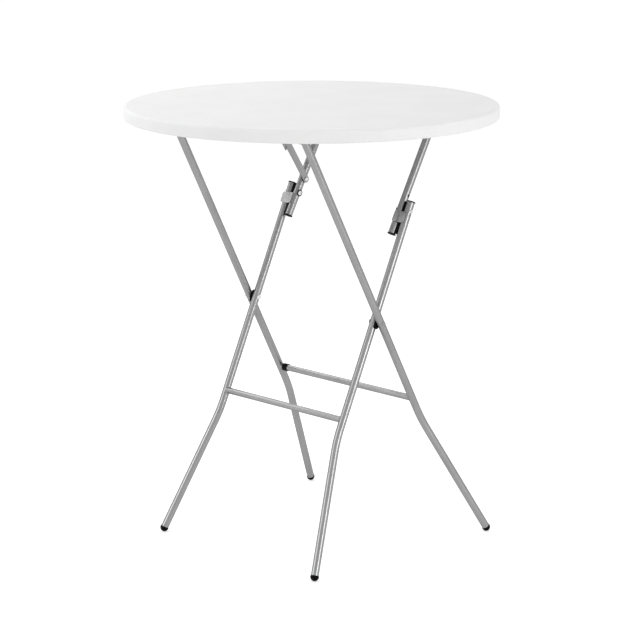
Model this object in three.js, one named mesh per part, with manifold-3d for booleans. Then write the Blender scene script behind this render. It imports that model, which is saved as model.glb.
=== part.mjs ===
// A round folding cocktail table, in millimetres, with +Z up.
// The origin is on the floor, under the centre of the tabletop.
// +X runs across the scissors, from the inner feet to the outer feet.
// +Y runs along the stretchers, from the right pair of legs to the left pair.

import * as THREE from 'three';
import { mergeVertices } from 'three/addons/utils/BufferGeometryUtils.js';
import Module from 'manifold-3d';

const wasm = await Module();
wasm.setup();

// Driving dimensions
const tableHeight = 1092;
const tabletopDiameter = 914;
const scissorHeight = 578.2;
const outerTilt = THREE.MathUtils.degToRad(28.2);
const headSpan = 492.3;
const headDrop = 46;
const outerHalfWidth = 229.5;
const tubeDiameter = 19;
const stretcherDiameter = 15.5;
const headTubeDiameter = 12.7;
const tubeWall = 1.2;

// Clearances
const seatGap = 0.3;
const runningGap = 0.3;
const foldClearance = 0.65;
const overrun = 4;
const weldTolerance = 0.001;

// Tabletop
const rimDepth = 31.5;
const panelThickness = 17;
const panelWall = 2.4;
const topEdgeRound = 8;
const rimRound = 4;
const lipWidth = 15;
const lipSlope = 6;
const dimpleSpacing = 104;
const dimpleRings = 3;
const dimplesPerRing = 6;
const dimpleMouth = 10;
const dimpleTip = 5;
const dimpleMargin = 8;
const ventRadius = 4;
const bossRadius = 6;

// Leg frames
const outerSplay = THREE.MathUtils.degToRad(0.76);
const outerBendHeight = 313;
const innerBendHeight = 305;
const outerFlare = THREE.MathUtils.degToRad(12.43);
const innerFlare = THREE.MathUtils.degToRad(10.93);
const bendRadius = 300;
const scissorGap = 5;
const kneeGap = 7.5;
const outerStretcherHeight = 370.8;
const innerStretcherHeight = 352.2;
const bumperLength = 16;
const bumperWall = 1.7;
const bumperShift = 5.3;

// Knees
const kneeSlack = 0.35;
const innerStub = 22.5;
const upperStub = 62;
const kneeRivetRadius = 3;
const kneeHeadRadius = 6;
const kneeOuterRadius = 4.8;
const kneeOuterHead = 0.7;
const kneeInnerHead = 1.2;
const bushingRadius = 9;
const bushingThickness = 0.6;
const spacerWidth = 11;
const spacerInset = 0.5;
const clipLength = 28;
const clipThickness = 2.2;
const clipShift = 19;
const clipSkew = { left: 0.9, right: -5 };

// Scissor pivots
const scissorPinRadius = 3.2;
const scissorHeadRadius = 6.4;
const scissorHeadHeight = 2.2;
const scissorOuterRadius = 5.5;
const scissorOuterHeight = 1.2;
const scissorSpacerLength = 33;
const scissorSpacerWidth = 14;

// Feet and caps
const plugDomeRadius = 10.5;
const plugCollar = 2.5;
const plugDepth = 20;
const capThickness = 2.5;
const capRound = 1;
const capLip = 1.4;
const capDepth = 12;

// Head brackets and screws
const bracketSpread = 220;
const bracketWidth = 30;
const bracketLength = 62;
const bracketSheet = 2.5;
const earSpread = 26;
const earMargin = 3.5;
const screwPitch = 46;
const screwRadius = 2;
const screwLength = 12;
const screwHeadRadius = 4.2;
const screwHeadHeight = 2.3;
const screwTip = 1.5;

// Lock stay, lock pin and keeper rail
const stayRivetFromKnee = 38.7;
const stayLean = THREE.MathUtils.degToRad(33);
const stayWidth = 18;
const stayThickness = 3;
const stayRivetRadius = 3;
const stayRivetHead = 5.2;
const stayRivetHeadHeight = 1.8;
const stayRivetReach = 7;
const washerThickness = 2;
const washerRadius = 9.2;
const stayTipMargin = 5;
const lockTravel = 5;
const lockPinRadius = 2.4;
const lockPinHead = 5.5;
const lockPinHeadHeight = 1.8;
const linkThickness = 1.9;
const linkWidth = 12;
const footLength = 4;
const keeperSheet = 2;
const keeperFlange = 22;
const keeperEndMargin = 8;
const keeperLowerMargin = 9;
const keeperScrews = 3;
const keeperScrewInset = 24;
const pinPathSag = 1.5;

// Spring on the stay
const springStart = 112;
const springWire = 1.2;
const springRadius = 2.9;
const springPitch = 3.5;
const springCurls = 14;
const springSideGap = 0.5;
const curlSteps = 8;
const wireSides = 5;

// Facet counts
const tubeSides = 16;
const bendSteps = 4;
const panelSides = 64;
const pinSides = 12;
const dimpleSides = 6;
const screwSides = 8;
const roundSteps = 3;
const domeSteps = 3;
const arcSteps = 4;

// Derived planes, levels and radii
const tubeRadius = tubeDiameter / 2;
const tubeBore = tubeRadius - tubeWall;
const stretcherRadius = stretcherDiameter / 2;
const headTubeRadius = headTubeDiameter / 2;
const innerHalfWidth = outerHalfWidth - tubeDiameter - scissorGap;
const upperHalfWidth = innerHalfWidth - tubeDiameter - kneeGap;
const insertRadius = tubeBore - seatGap;
const headHeight = tableHeight - headDrop;
const undersideHeight = tableHeight - panelThickness;
const bumperRadius = stretcherRadius + seatGap + bumperWall;
const dirs = { left: 1, right: -1 };

// The pivots of the linkage, as points in the X-Z plane.
// The knee is placed so that, once the inner legs rest on the bumper of the outer stretcher,
// the upper arms lie on the line between the two head pivots.
const outerHead = new THREE.Vector2(-headSpan / 2, headHeight);
const innerHead = new THREE.Vector2(headSpan / 2, headHeight);
const outerRise = headHeight - scissorHeight;
const scissor = new THREE.Vector2(outerHead.x + outerRise * Math.tan(outerTilt), scissorHeight);
const outerUpperLength = outerRise / Math.cos(outerTilt);
const bumperReach = (scissorHeight - outerStretcherHeight) / Math.cos(outerTilt);
const closedGap = tubeRadius + bumperRadius + foldClearance;
const closedScissor = Math.asin(closedGap / bumperReach);
const chord = scissor.distanceTo(innerHead);
const chordTilt = Math.atan2(innerHead.x - scissor.x, outerRise);
const kneeSum = chord + kneeSlack;
const headRest = headSpan - kneeSum;
const lowerLink = (outerUpperLength ** 2 - headRest ** 2)
  / (2 * (headRest + outerUpperLength * Math.cos(closedScissor)));
const upperLink = kneeSum - lowerLink;
const chordCorner = Math.acos(
  (lowerLink ** 2 + chord ** 2 - upperLink ** 2) / (2 * lowerLink * chord));
const innerTilt = chordTilt - chordCorner;
const knee = new THREE.Vector2(Math.sin(innerTilt), Math.cos(innerTilt));
knee.multiplyScalar(lowerLink).add(scissor);
const upperTilt = Math.atan2(innerHead.x - knee.x, innerHead.y - knee.y);

// Rivet and lock pin of the stay, locked and released
const stayRivetDistance = upperLink - stayRivetFromKnee;
const stayRivet = new THREE.Vector2(-Math.sin(upperTilt), -Math.cos(upperTilt));
stayRivet.multiplyScalar(stayRivetDistance).add(innerHead);
const stayLength = (headHeight - stayRivet.y) / Math.cos(stayLean);
const lockedLength = stayLength + lockTravel;
const stayDirection = new THREE.Vector2(-Math.sin(stayLean), Math.cos(stayLean));
const releasedPin = stayDirection.clone().multiplyScalar(stayLength).add(stayRivet);
const lockedPin = stayDirection.clone().multiplyScalar(lockedLength).add(stayRivet);
const foldedPinX = innerHead.x - stayRivetDistance - lockedLength;

// Planes of the stay and keeper, from the arm's inner face towards the middle
const armFace = upperHalfWidth - tubeRadius;
const stayOuterFace = armFace - 2 * seatGap - washerThickness;
const stayInnerFace = stayOuterFace - stayThickness;
const keeperOuterFace = stayInnerFace - 2 * seatGap - stayRivetHeadHeight;
const keeperInnerFace = keeperOuterFace - keeperSheet;

// Travel of each joint, in degrees, and the length of the spring
const closedTop = Math.atan2(
  lowerLink * Math.sin(closedScissor), outerUpperLength - lowerLink * Math.cos(closedScissor));
const topTravel = Math.PI / 2 - outerTilt - closedTop;
const upperTravel = Math.PI / 2 - upperTilt;
const kneeTravel = Math.PI - (upperTilt - innerTilt) - closedTop - closedScissor;
const stayTravel = upperTravel + Math.PI / 2 - stayLean;
const springLength = springCurls * springPitch + springWire;
console.log('pivots', { outerHead, innerHead, scissor, knee, stayRivet, releasedPin, lockedPin, foldedPinX });
console.log('tilts', [innerTilt, upperTilt, closedScissor, closedTop].map(THREE.MathUtils.radToDeg));
console.log('travel', [topTravel, upperTravel, kneeTravel, stayTravel].map(THREE.MathUtils.radToDeg));
console.log('links', { outerUpperLength, lowerLink, upperLink, stayLength, springLength });

// Finishes
const finishes = {
  white_plastic: { color: 0xeeeeec, roughness: 0.45, metalness: 0 },
  grey_steel: { color: 0xa3a3a3, roughness: 0.4, metalness: 0.35 },
  pale_steel: { color: 0xc4c4c4, roughness: 0.35, metalness: 0.6 },
  black_plastic: { color: 0x151515, roughness: 0.55, metalness: 0 },
};
const clipFinish = { left: 'pale_steel', right: 'grey_steel' };

function named(name, geometry, finish) {
  const mesh = new THREE.Mesh(geometry, new THREE.MeshStandardMaterial(finishes[finish]));
  mesh.name = name;
  return mesh;
}

// Joining and cutting
function toSolid(geometry) {
  const bare = geometry.clone();
  bare.deleteAttribute('normal');
  bare.deleteAttribute('uv');
  const merged = mergeVertices(bare, weldTolerance);
  return new wasm.Manifold(new wasm.Mesh({
    numProp: 3,
    vertProperties: merged.attributes.position.array,
    triVerts: Uint32Array.from(merged.index.array),
  }));
}

function toGeometry(solid) {
  const mesh = solid.getMesh();
  const geometry = new THREE.BufferGeometry();
  geometry.setAttribute('position', new THREE.BufferAttribute(mesh.vertProperties, mesh.numProp));
  geometry.setIndex(new THREE.BufferAttribute(mesh.triVerts, 1));
  geometry.computeVertexNormals();
  return geometry;
}

function cut(geometry, cutters) {
  return toGeometry(cutters.reduce((solid, cutter) => solid.subtract(toSolid(cutter)), toSolid(geometry)));
}

function join(geometries) {
  const [first, ...rest] = geometries.map(toSolid);
  return toGeometry(rest.reduce((solid, other) => solid.add(other), first));
}

// Flat shapes
function circlePoints(radius, count) {
  return Array.from({ length: count }, (_, i) => {
    const angle = 2 * Math.PI * i / count;
    return new THREE.Vector2(radius * Math.cos(angle), radius * Math.sin(angle));
  });
}

function ringShape(radius, bore, count) {
  const shape = new THREE.Shape(circlePoints(radius, count));
  if (bore > 0) shape.holes.push(new THREE.Path(circlePoints(bore, count)));
  return shape;
}

// A bar with round ends between two centres
function slotShape(radius, from, to) {
  const angle = Math.atan2(to.y - from.y, to.x - from.x);
  const shape = new THREE.Shape();
  shape.absarc(from.x, from.y, radius, angle + Math.PI / 2, angle + 1.5 * Math.PI, false);
  shape.absarc(to.x, to.y, radius, angle - Math.PI / 2, angle + Math.PI / 2, false);
  shape.closePath();
  return shape;
}

function rectangle(left, right, low, high) {
  return new THREE.Shape([
    new THREE.Vector2(left, low),
    new THREE.Vector2(right, low),
    new THREE.Vector2(right, high),
    new THREE.Vector2(left, high),
  ]);
}

// Plates: a shape in X and Z thickened along Y, and a shape in Y and Z thickened along X
function extruded(shape, depth) {
  return new THREE.ExtrudeGeometry(shape, { depth, bevelEnabled: false, curveSegments: arcSteps });
}

function plateAlongY(shape, ends) {
  const [low, high] = [...ends].sort((a, b) => a - b);
  return extruded(shape, high - low).rotateX(Math.PI / 2).translate(0, high, 0);
}

function plateAlongX(shape, low, high) {
  const axes = new THREE.Matrix4().makeBasis(
    new THREE.Vector3(0, 1, 0), new THREE.Vector3(0, 0, 1), new THREE.Vector3(1, 0, 0));
  return extruded(shape, high - low).applyMatrix4(axes).translate(low, 0, 0);
}

function block(low, high) {
  const size = high.clone().sub(low);
  const middle = high.clone().add(low).multiplyScalar(0.5);
  return new THREE.BoxGeometry(size.x, size.y, size.z).translate(middle.x, middle.y, middle.z);
}

// Turned pieces, from radius and distance pairs
function turned(profile, count) {
  return new THREE.LatheGeometry(profile.map(([radius, place]) => new THREE.Vector2(radius, place)), count);
}

function turnedAlongY(side, profile, count = pinSides) {
  const piece = turned(profile, count);
  return side > 0 ? piece : piece.rotateZ(Math.PI);
}

function turnedAlongZ(profile, count) {
  return turned(profile, count).rotateX(Math.PI / 2);
}

function rodAlongY(radius, ends, count = pinSides) {
  const [low, high] = [...ends].sort((a, b) => a - b);
  return turned([[0, low], [radius, low], [radius, high], [0, high]], count);
}

// A path through chosen points, one step for each stretch between them
class StationPath extends THREE.Curve {
  constructor(points) {
    super();
    this.points = points;
  }

  getPointAt(u, target = new THREE.Vector3()) {
    return target.copy(this.points[Math.round(u * (this.points.length - 1))]);
  }

  getTangentAt(u, target = new THREE.Vector3()) {
    const index = Math.round(u * (this.points.length - 1));
    const here = this.points[index];
    const before = this.points[Math.max(index - 1, 0)];
    const after = this.points[Math.min(index + 1, this.points.length - 1)];
    const inward = here.clone().sub(before).normalize();
    return target.copy(after).sub(here).normalize().add(inward).normalize();
  }
}

function sweep(points, shape) {
  const extrudePath = new StationPath(points);
  return new THREE.ExtrudeGeometry(shape, { steps: points.length - 1, extrudePath });
}

function tubeBetween(radius, bore, from, to) {
  return sweep([from, to], ringShape(radius, bore, tubeSides));
}

function eachSide(build) {
  Object.entries(dirs).forEach(([word, side]) => build(word, side));
}

// A leg's centre line in the plane of its frame, from the head down to the foot.
// Levels run along the frame from the scissor pivot.
function legLine(side, frame) {
  const { halfWidth, splay, top, bend, flare, foot } = frame;
  const width = (level) => halfWidth - level * Math.tan(splay);
  const reach = bendRadius * Math.tan(flare / 2);
  const arcTop = bend + reach * Math.cos(splay);
  const centreY = width(arcTop) + bendRadius * Math.cos(splay);
  const centreZ = arcTop + bendRadius * Math.sin(splay);
  const points = [new THREE.Vector3(0, side * width(top), top)];
  for (let i = 0; i <= bendSteps; i += 1) {
    const turn = splay + flare * i / bendSteps;
    const y = centreY - bendRadius * Math.cos(turn);
    points.push(new THREE.Vector3(0, side * y, centreZ - bendRadius * Math.sin(turn)));
  }
  const last = points[points.length - 1];
  const run = (last.z - foot) * Math.tan(splay + flare);
  points.push(new THREE.Vector3(0, last.y + side * run, foot));
  return points;
}

// Plastic plug with a domed foot, its dome centred on its own origin
function footPlug() {
  const profile = new THREE.Path();
  profile.absarc(0, 0, plugDomeRadius, -Math.PI / 2, 0, false);
  profile.lineTo(plugDomeRadius, plugCollar);
  profile.lineTo(insertRadius, plugCollar);
  profile.lineTo(insertRadius, plugDepth);
  profile.lineTo(0, plugDepth);
  return new THREE.LatheGeometry(profile.getPoints(domeSteps), tubeSides).rotateX(Math.PI / 2);
}

// Plastic cap whose flange starts at its own origin
function tubeCap() {
  const rim = tubeRadius + capLip;
  return turnedAlongZ([
    [0, -capDepth], [insertRadius, -capDepth], [insertRadius, 0], [rim, 0],
    [rim, capThickness - capRound], [rim - capRound, capThickness], [0, capThickness],
  ], tubeSides);
}

// Legs, feet and stretcher of one frame, with the scissor pivot at the group's origin
function legFrame(prefix, frame) {
  const group = new THREE.Group();
  group.position.set(scissor.x, 0, scissor.y);
  group.rotation.y = frame.tilt;
  const lean = frame.splay + frame.flare;
  const plugLift = plugCollar + seatGap;
  const dome = -(scissorHeight - plugDomeRadius) / Math.cos(frame.tilt);
  const foot = dome + plugLift * Math.cos(lean);
  const bend = -(scissorHeight - frame.bendHeight) / Math.cos(frame.tilt);
  const envelopes = [];
  eachSide((word, side) => {
    const line = legLine(side, { ...frame, bend, foot });
    const tube = sweep(line, ringShape(tubeRadius, tubeBore, tubeSides));
    const reach = [side * (frame.halfWidth - tubeDiameter), side * (frame.halfWidth + tubeDiameter)];
    const drills = frame.holes.map(([level, radius]) => rodAlongY(radius, reach).translate(0, 0, level));
    group.add(named(`${prefix}_leg_${word}`, cut(tube, drills), 'grey_steel'));
    envelopes.push(sweep(line, ringShape(tubeRadius + seatGap, 0, tubeSides)));
    const plug = named(`${prefix}_foot_${word}`, footPlug(), 'black_plastic');
    plug.position.set(0, line[line.length - 1].y + side * plugLift * Math.sin(lean), dome);
    plug.rotation.x = side * lean;
    group.add(plug);
  });
  const level = -(scissorHeight - frame.stretcherHeight) / Math.cos(frame.tilt);
  const half = frame.halfWidth - level * Math.tan(frame.splay);
  const bar = crossBar(stretcherRadius, stretcherRadius - tubeWall, half, level);
  group.add(named(`${prefix}_stretcher`, cut(bar, envelopes), 'grey_steel'));
  return { group, envelopes, level };
}

function crossBar(radius, bore, half, level) {
  return tubeBetween(radius, bore, new THREE.Vector3(0, -half, level), new THREE.Vector3(0, half, level));
}

// Outer frame: two long legs from the head tube to the floor
function outerFrame() {
  const { group, envelopes, level } = legFrame('outer', {
    halfWidth: outerHalfWidth,
    splay: outerSplay,
    tilt: -outerTilt,
    top: outerUpperLength + tubeRadius,
    bendHeight: outerBendHeight,
    flare: outerFlare,
    stretcherHeight: outerStretcherHeight,
    holes: [[0, scissorPinRadius + seatGap]],
  });
  const headHalf = outerHalfWidth - outerUpperLength * Math.tan(outerSplay);
  const head = crossBar(headTubeRadius, headTubeRadius - tubeWall, headHalf, outerUpperLength);
  group.add(named('outer_head_tube', cut(head, envelopes), 'grey_steel'));
  group.add(named('stretcher_bumper', bumper(level), 'black_plastic'));
  eachSide((word, side) => {
    group.add(named(`scissor_pin_outer_${word}`, outerScissorPin(side), 'grey_steel'));
  });
  return group;
}

// Rubber sleeve on the outer stretcher, where the left inner leg lands when folded
function bumper(level) {
  const middle = innerHalfWidth + bumperShift;
  const shape = ringShape(bumperRadius, stretcherRadius + seatGap, tubeSides);
  return sweep([
    new THREE.Vector3(0, middle - bumperLength / 2, level),
    new THREE.Vector3(0, middle + bumperLength / 2, level),
  ], shape);
}

// The pin is in two halves, one on each frame, that meet at the outer leg's inner face
function outerScissorPin(side) {
  const end = outerHalfWidth - tubeRadius + seatGap;
  const seat = outerHalfWidth + tubeRadius + seatGap;
  const rounding = scissorOuterHeight / 2;
  return turnedAlongY(side, [
    [0, end], [scissorPinRadius, end], [scissorPinRadius, seat], [scissorOuterRadius, seat],
    [scissorOuterRadius, seat + rounding], [scissorOuterRadius - rounding, seat + scissorOuterHeight],
    [0, seat + scissorOuterHeight],
  ]);
}

function innerScissorPin(side) {
  const end = outerHalfWidth - tubeRadius - seatGap;
  const seat = innerHalfWidth - tubeRadius - seatGap;
  const rounding = scissorHeadHeight / 2;
  return turnedAlongY(side, [
    [0, seat - scissorHeadHeight], [scissorHeadRadius - rounding, seat - scissorHeadHeight],
    [scissorHeadRadius, seat - rounding], [scissorHeadRadius, seat], [scissorPinRadius, seat],
    [scissorPinRadius, end], [0, end],
  ]);
}

// Spacer on the inner leg, thin enough to pass the outer leg where that leans in
function scissorSpacer(side) {
  const splayedIn = scissorSpacerLength / 2 * Math.tan(outerSplay);
  const ends = [
    side * (innerHalfWidth + tubeRadius + seatGap),
    side * (outerHalfWidth - tubeRadius - seatGap - splayedIn),
  ];
  const half = (scissorSpacerLength - scissorSpacerWidth) / 2;
  const shape = slotShape(scissorSpacerWidth / 2, new THREE.Vector2(0, -half), new THREE.Vector2(0, half));
  shape.holes.push(new THREE.Path(circlePoints(scissorPinRadius + seatGap, pinSides)));
  return plateAlongY(shape, ends);
}

// Inner frame: two legs from the knees to the floor
function innerFrame() {
  const { group } = legFrame('inner', {
    halfWidth: innerHalfWidth,
    splay: 0,
    tilt: innerTilt,
    top: lowerLink + innerStub,
    bendHeight: innerBendHeight,
    flare: innerFlare,
    stretcherHeight: innerStretcherHeight,
    holes: [[0, scissorPinRadius + seatGap], [lowerLink, kneeRivetRadius + runningGap]],
  });
  eachSide((word, side) => {
    group.add(named(`scissor_pin_inner_${word}`, innerScissorPin(side), 'pale_steel'));
    group.add(named(`scissor_spacer_${word}`, scissorSpacer(side), 'black_plastic'));
    group.add(named(`knee_spacer_${word}`, kneeSpacer(side), 'black_plastic'));
    const edges = [upperHalfWidth + tubeRadius + seatGap, innerHalfWidth + tubeRadius + clipSkew[word]];
    group.add(named(`knee_clip_lower_${word}`, kneeClip(side, ...edges, lowerLink), clipFinish[word]));
    const cap = named(`inner_cap_${word}`, tubeCap(), 'black_plastic');
    cap.position.set(0, side * innerHalfWidth, lowerLink + innerStub + seatGap);
    group.add(cap);
  });
  return group;
}

// Plastic strip that keeps the two tubes of a knee apart
function kneeSpacer(side) {
  const half = spacerWidth / 2;
  const shape = rectangle(-half, half, lowerLink - upperStub + spacerInset, lowerLink + innerStub - spacerInset);
  const ends = [
    side * (upperHalfWidth + tubeRadius + seatGap),
    side * (innerHalfWidth - tubeRadius - seatGap),
  ];
  const strip = plateAlongY(shape, ends);
  const bore = rodAlongY(kneeRivetRadius + runningGap, [ends[0] - side * overrun, ends[1] + side * overrun]);
  return cut(strip, [bore.translate(0, 0, lowerLink)]);
}

// One half of the clip across a knee, on the side of the tubes that faces the outer head
function kneeClip(side, near, far, level) {
  const shape = rectangle(side * near, side * far, level - clipShift - clipLength / 2,
    level - clipShift + clipLength / 2);
  const face = -tubeRadius - seatGap;
  return plateAlongX(shape, face - clipThickness, face);
}

// Upper arms and their head tube, with the head pivot at the group's origin
function upperLinks() {
  const group = new THREE.Group();
  group.position.set(innerHead.x, 0, innerHead.y);
  group.rotation.y = upperTilt;
  const low = -(upperLink + upperStub);
  const envelopes = [];
  eachSide((word, side) => {
    const ends = [tubeRadius, low].map((level) => new THREE.Vector3(0, side * upperHalfWidth, level));
    const reach = [side * (upperHalfWidth - tubeDiameter), side * (upperHalfWidth + tubeDiameter)];
    const drills = [
      rodAlongY(kneeRivetRadius + seatGap, reach).translate(0, 0, -upperLink),
      rodAlongY(stayRivetRadius + seatGap, reach).translate(0, 0, -stayRivetDistance),
    ];
    const tube = tubeBetween(tubeRadius, tubeBore, ...ends);
    group.add(named(`upper_arm_${word}`, cut(tube, drills), 'grey_steel'));
    envelopes.push(tubeBetween(tubeRadius + seatGap, 0, ...ends));
    const rivet = kneeRivet(side).translate(0, 0, -upperLink);
    group.add(named(`knee_rivet_${word}`, rivet, 'pale_steel'));
    const edges = [upperHalfWidth + clipSkew[word], upperHalfWidth + tubeRadius];
    group.add(named(`knee_clip_upper_${word}`, kneeClip(side, ...edges, -upperLink), clipFinish[word]));
    const cap = named(`upper_cap_${word}`, tubeCap(), 'black_plastic');
    cap.position.set(0, side * upperHalfWidth, low - seatGap);
    cap.rotation.x = Math.PI;
    group.add(cap);
  });
  const head = crossBar(headTubeRadius, headTubeRadius - tubeWall, upperHalfWidth, 0);
  group.add(named('upper_head_tube', cut(head, envelopes), 'grey_steel'));
  const rivet = stayRivetPiece().translate(0, 0, -stayRivetDistance);
  group.add(named('stay_rivet', rivet, 'pale_steel'));
  const bushing = kneeBushing().translate(0, 0, -upperLink);
  group.add(named('knee_bushing', bushing, 'black_plastic'));
  group.add(named('stay_washer', washer().translate(0, 0, -stayRivetDistance), 'black_plastic'));
  return group;
}

function kneeRivet(side) {
  const underHead = side === dirs.left ? bushingThickness + seatGap : 0;
  const inner = upperHalfWidth - tubeRadius - seatGap - underHead;
  const outer = innerHalfWidth + tubeRadius + seatGap;
  return turnedAlongY(side, [
    [0, inner - kneeInnerHead], [kneeHeadRadius - kneeInnerHead, inner - kneeInnerHead],
    [kneeHeadRadius, inner - kneeInnerHead / 2], [kneeHeadRadius, inner], [kneeRivetRadius, inner],
    [kneeRivetRadius, outer], [kneeOuterRadius, outer], [kneeOuterRadius, outer + kneeOuterHead / 2],
    [kneeOuterRadius - kneeOuterHead, outer + kneeOuterHead], [0, outer + kneeOuterHead],
  ]);
}

// Thin ring under the inner head of the left knee's rivet
function kneeBushing() {
  const face = armFace - seatGap;
  const shape = ringShape(bushingRadius, kneeRivetRadius + seatGap, tubeSides);
  return plateAlongY(shape, [face - bushingThickness, face]);
}

// Rivet that carries the stay on the left arm; its end is spread inside the tube
function stayRivetPiece() {
  const seat = stayInnerFace - seatGap;
  const end = armFace + stayRivetReach;
  const rounding = stayRivetHeadHeight / 2;
  return turnedAlongY(dirs.left, [
    [0, seat - stayRivetHeadHeight], [stayRivetHead - rounding, seat - stayRivetHeadHeight],
    [stayRivetHead, seat - rounding], [stayRivetHead, seat], [stayRivetRadius, seat],
    [stayRivetRadius, end], [0, end],
  ]);
}

function washer() {
  const shape = ringShape(washerRadius, stayRivetRadius + seatGap, tubeSides);
  return plateAlongY(shape, [stayOuterFace + seatGap, armFace - seatGap]);
}

// Stay, spring and lock pin, with the stay's rivet at the group's origin and +Z along the bar
function stayGroup() {
  const group = new THREE.Group();
  group.position.set(stayRivet.x, 0, stayRivet.y);
  group.rotation.y = -stayLean;
  group.add(named('stay_bar', stayBar(), 'grey_steel'));
  group.add(named('stay_spring', spring(), 'black_plastic'));
  group.add(named('lock_pin', lockPin(), 'pale_steel'));
  return group;
}

const springAxis = stayWidth / 2 + springSideGap + springRadius + springWire / 2;
const springEdge = springAxis + springRadius + springWire / 2;
const footStart = springStart + seatGap * 2 + springLength;

function stayBar() {
  const tip = lockedLength + lockPinRadius + runningGap + stayTipMargin - stayWidth / 2;
  const shape = slotShape(stayWidth / 2, new THREE.Vector2(0, 0), new THREE.Vector2(0, tip));
  shape.holes.push(new THREE.Path(circlePoints(stayRivetRadius + runningGap, pinSides)));
  const faces = [stayInnerFace, stayOuterFace];
  const bar = plateAlongY(shape, faces);
  const tab = plateAlongY(rectangle(-springEdge, 0, springStart - footLength, springStart), faces);
  const pinWay = slotShape(lockPinRadius + runningGap,
    new THREE.Vector2(0, stayLength), new THREE.Vector2(0, lockedLength));
  return cut(join([bar, tab]), [plateAlongY(pinWay, [stayInnerFace - overrun, stayOuterFace + overrun])]);
}

// A compression spring beside the bar: one round wire wound as a helix
function spring() {
  const steps = springCurls * curlSteps;
  const centre = new THREE.Vector3(-springAxis, (stayInnerFace + stayOuterFace) / 2, springStart + seatGap);
  const rise = new THREE.Vector3(0, 0, springPitch / (2 * Math.PI));
  const positions = [];
  const indices = [];
  for (let i = 0; i <= steps; i += 1) {
    const angle = 2 * Math.PI * i / curlSteps;
    const outward = new THREE.Vector3(Math.cos(angle), Math.sin(angle), 0);
    const along = new THREE.Vector3(-Math.sin(angle), Math.cos(angle), 0).multiplyScalar(springRadius);
    const across = along.add(rise).normalize().cross(outward);
    const height = springWire / 2 + springPitch * i / curlSteps;
    const middle = outward.clone().multiplyScalar(springRadius).add(centre);
    for (let j = 0; j < wireSides; j += 1) {
      const turn = 2 * Math.PI * j / wireSides;
      const point = outward.clone().multiplyScalar(Math.cos(turn)).addScaledVector(across, Math.sin(turn));
      point.multiplyScalar(springWire / 2).add(middle);
      positions.push(point.x, point.y, point.z + height);
    }
  }
  const ring = (i, j) => i * wireSides + (j % wireSides);
  for (let i = 0; i < steps; i += 1) {
    for (let j = 0; j < wireSides; j += 1) {
      indices.push(ring(i, j), ring(i, j + 1), ring(i + 1, j + 1));
      indices.push(ring(i, j), ring(i + 1, j + 1), ring(i + 1, j));
    }
  }
  for (let j = 1; j < wireSides - 1; j += 1) {
    indices.push(ring(0, 0), ring(0, j + 1), ring(0, j));
    indices.push(ring(steps, 0), ring(steps, j), ring(steps, j + 1));
  }
  const geometry = new THREE.BufferGeometry();
  geometry.setAttribute('position', new THREE.Float32BufferAttribute(positions, 3));
  geometry.setIndex(indices);
  geometry.computeVertexNormals();
  printSpringGap(positions);
  return geometry;
}

// The least distance between points of the wire a full curl apart
function printSpringGap(positions) {
  const perCurl = curlSteps * wireSides;
  let least = Infinity;
  for (let i = 0; i < perCurl + wireSides; i += 1) {
    const low = new THREE.Vector3().fromArray(positions, i * 3);
    for (let j = perCurl - wireSides; j < 2 * perCurl; j += 1) {
      const ringStep = Math.floor(j / wireSides) - Math.floor(i / wireSides);
      if (ringStep < curlSteps - 1) continue;
      least = Math.min(least, low.distanceTo(new THREE.Vector3().fromArray(positions, j * 3)));
    }
  }
  console.log('least gap between curls', least);
}

// Lock pin with the link and foot that carry the spring's push to it
function lockPin() {
  const near = stayOuterFace + seatGap;
  const far = near + linkThickness;
  const low = new THREE.Vector2(0, footStart + linkWidth / 2);
  const link = plateAlongY(slotShape(linkWidth / 2, low, new THREE.Vector2(0, stayLength)), [near, far]);
  const footTop = footStart + footLength;
  const arm = plateAlongY(rectangle(-springEdge, 0, footStart, footTop), [near, far]);
  const springHalf = springRadius + springWire / 2;
  const middle = (stayInnerFace + stayOuterFace) / 2;
  const footEdge = rectangle(-springEdge, -stayWidth / 2 - springSideGap, footStart, footTop);
  const foot = plateAlongY(footEdge, [middle - springHalf, far]);
  const seat = keeperInnerFace - seatGap;
  const pin = turnedAlongY(dirs.left, [
    [0, seat - lockPinHeadHeight], [lockPinHead, seat - lockPinHeadHeight], [lockPinHead, seat],
    [lockPinRadius, seat], [lockPinRadius, (near + far) / 2], [0, (near + far) / 2],
  ]).translate(0, 0, stayLength);
  return join([link, arm, foot, pin]);
}

// Keeper rail: a slotted web below a flange screwed to the tabletop.
// The pin slides along the slot, and springs up into the notch at its end when the table is open.
const flangeTop = undersideHeight - seatGap;
const flangeLow = flangeTop - keeperSheet;
const slotRadius = lockPinRadius + pinPathSag + runningGap;
const keeperLeft = foldedPinX - slotRadius - keeperEndMargin;
const keeperRight = releasedPin.x + slotRadius + keeperEndMargin;
const keeperScrewY = keeperInnerFace - keeperFlange / 2;

function keeperRail() {
  const faces = [keeperInnerFace, keeperOuterFace];
  const web = plateAlongY(rectangle(keeperLeft, keeperRight, headHeight - keeperLowerMargin, flangeTop), faces);
  const flange = block(
    new THREE.Vector3(keeperLeft, keeperOuterFace - keeperFlange, flangeLow),
    new THREE.Vector3(keeperRight, (keeperInnerFace + keeperOuterFace) / 2, flangeTop));
  const way = [keeperInnerFace - overrun, keeperOuterFace + overrun];
  const slot = slotShape(slotRadius, new THREE.Vector2(foldedPinX, headHeight), releasedPin);
  const notch = slotShape(lockPinRadius + runningGap, releasedPin, lockedPin);
  const cutters = [plateAlongY(slot, way), plateAlongY(notch, way)];
  const drills = keeperScrewPlaces().map((place) => screwHole(flangeLow - overrun, flangeTop + overrun, place));
  return cut(join([web, flange]), [...cutters, ...drills]);
}

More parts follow.
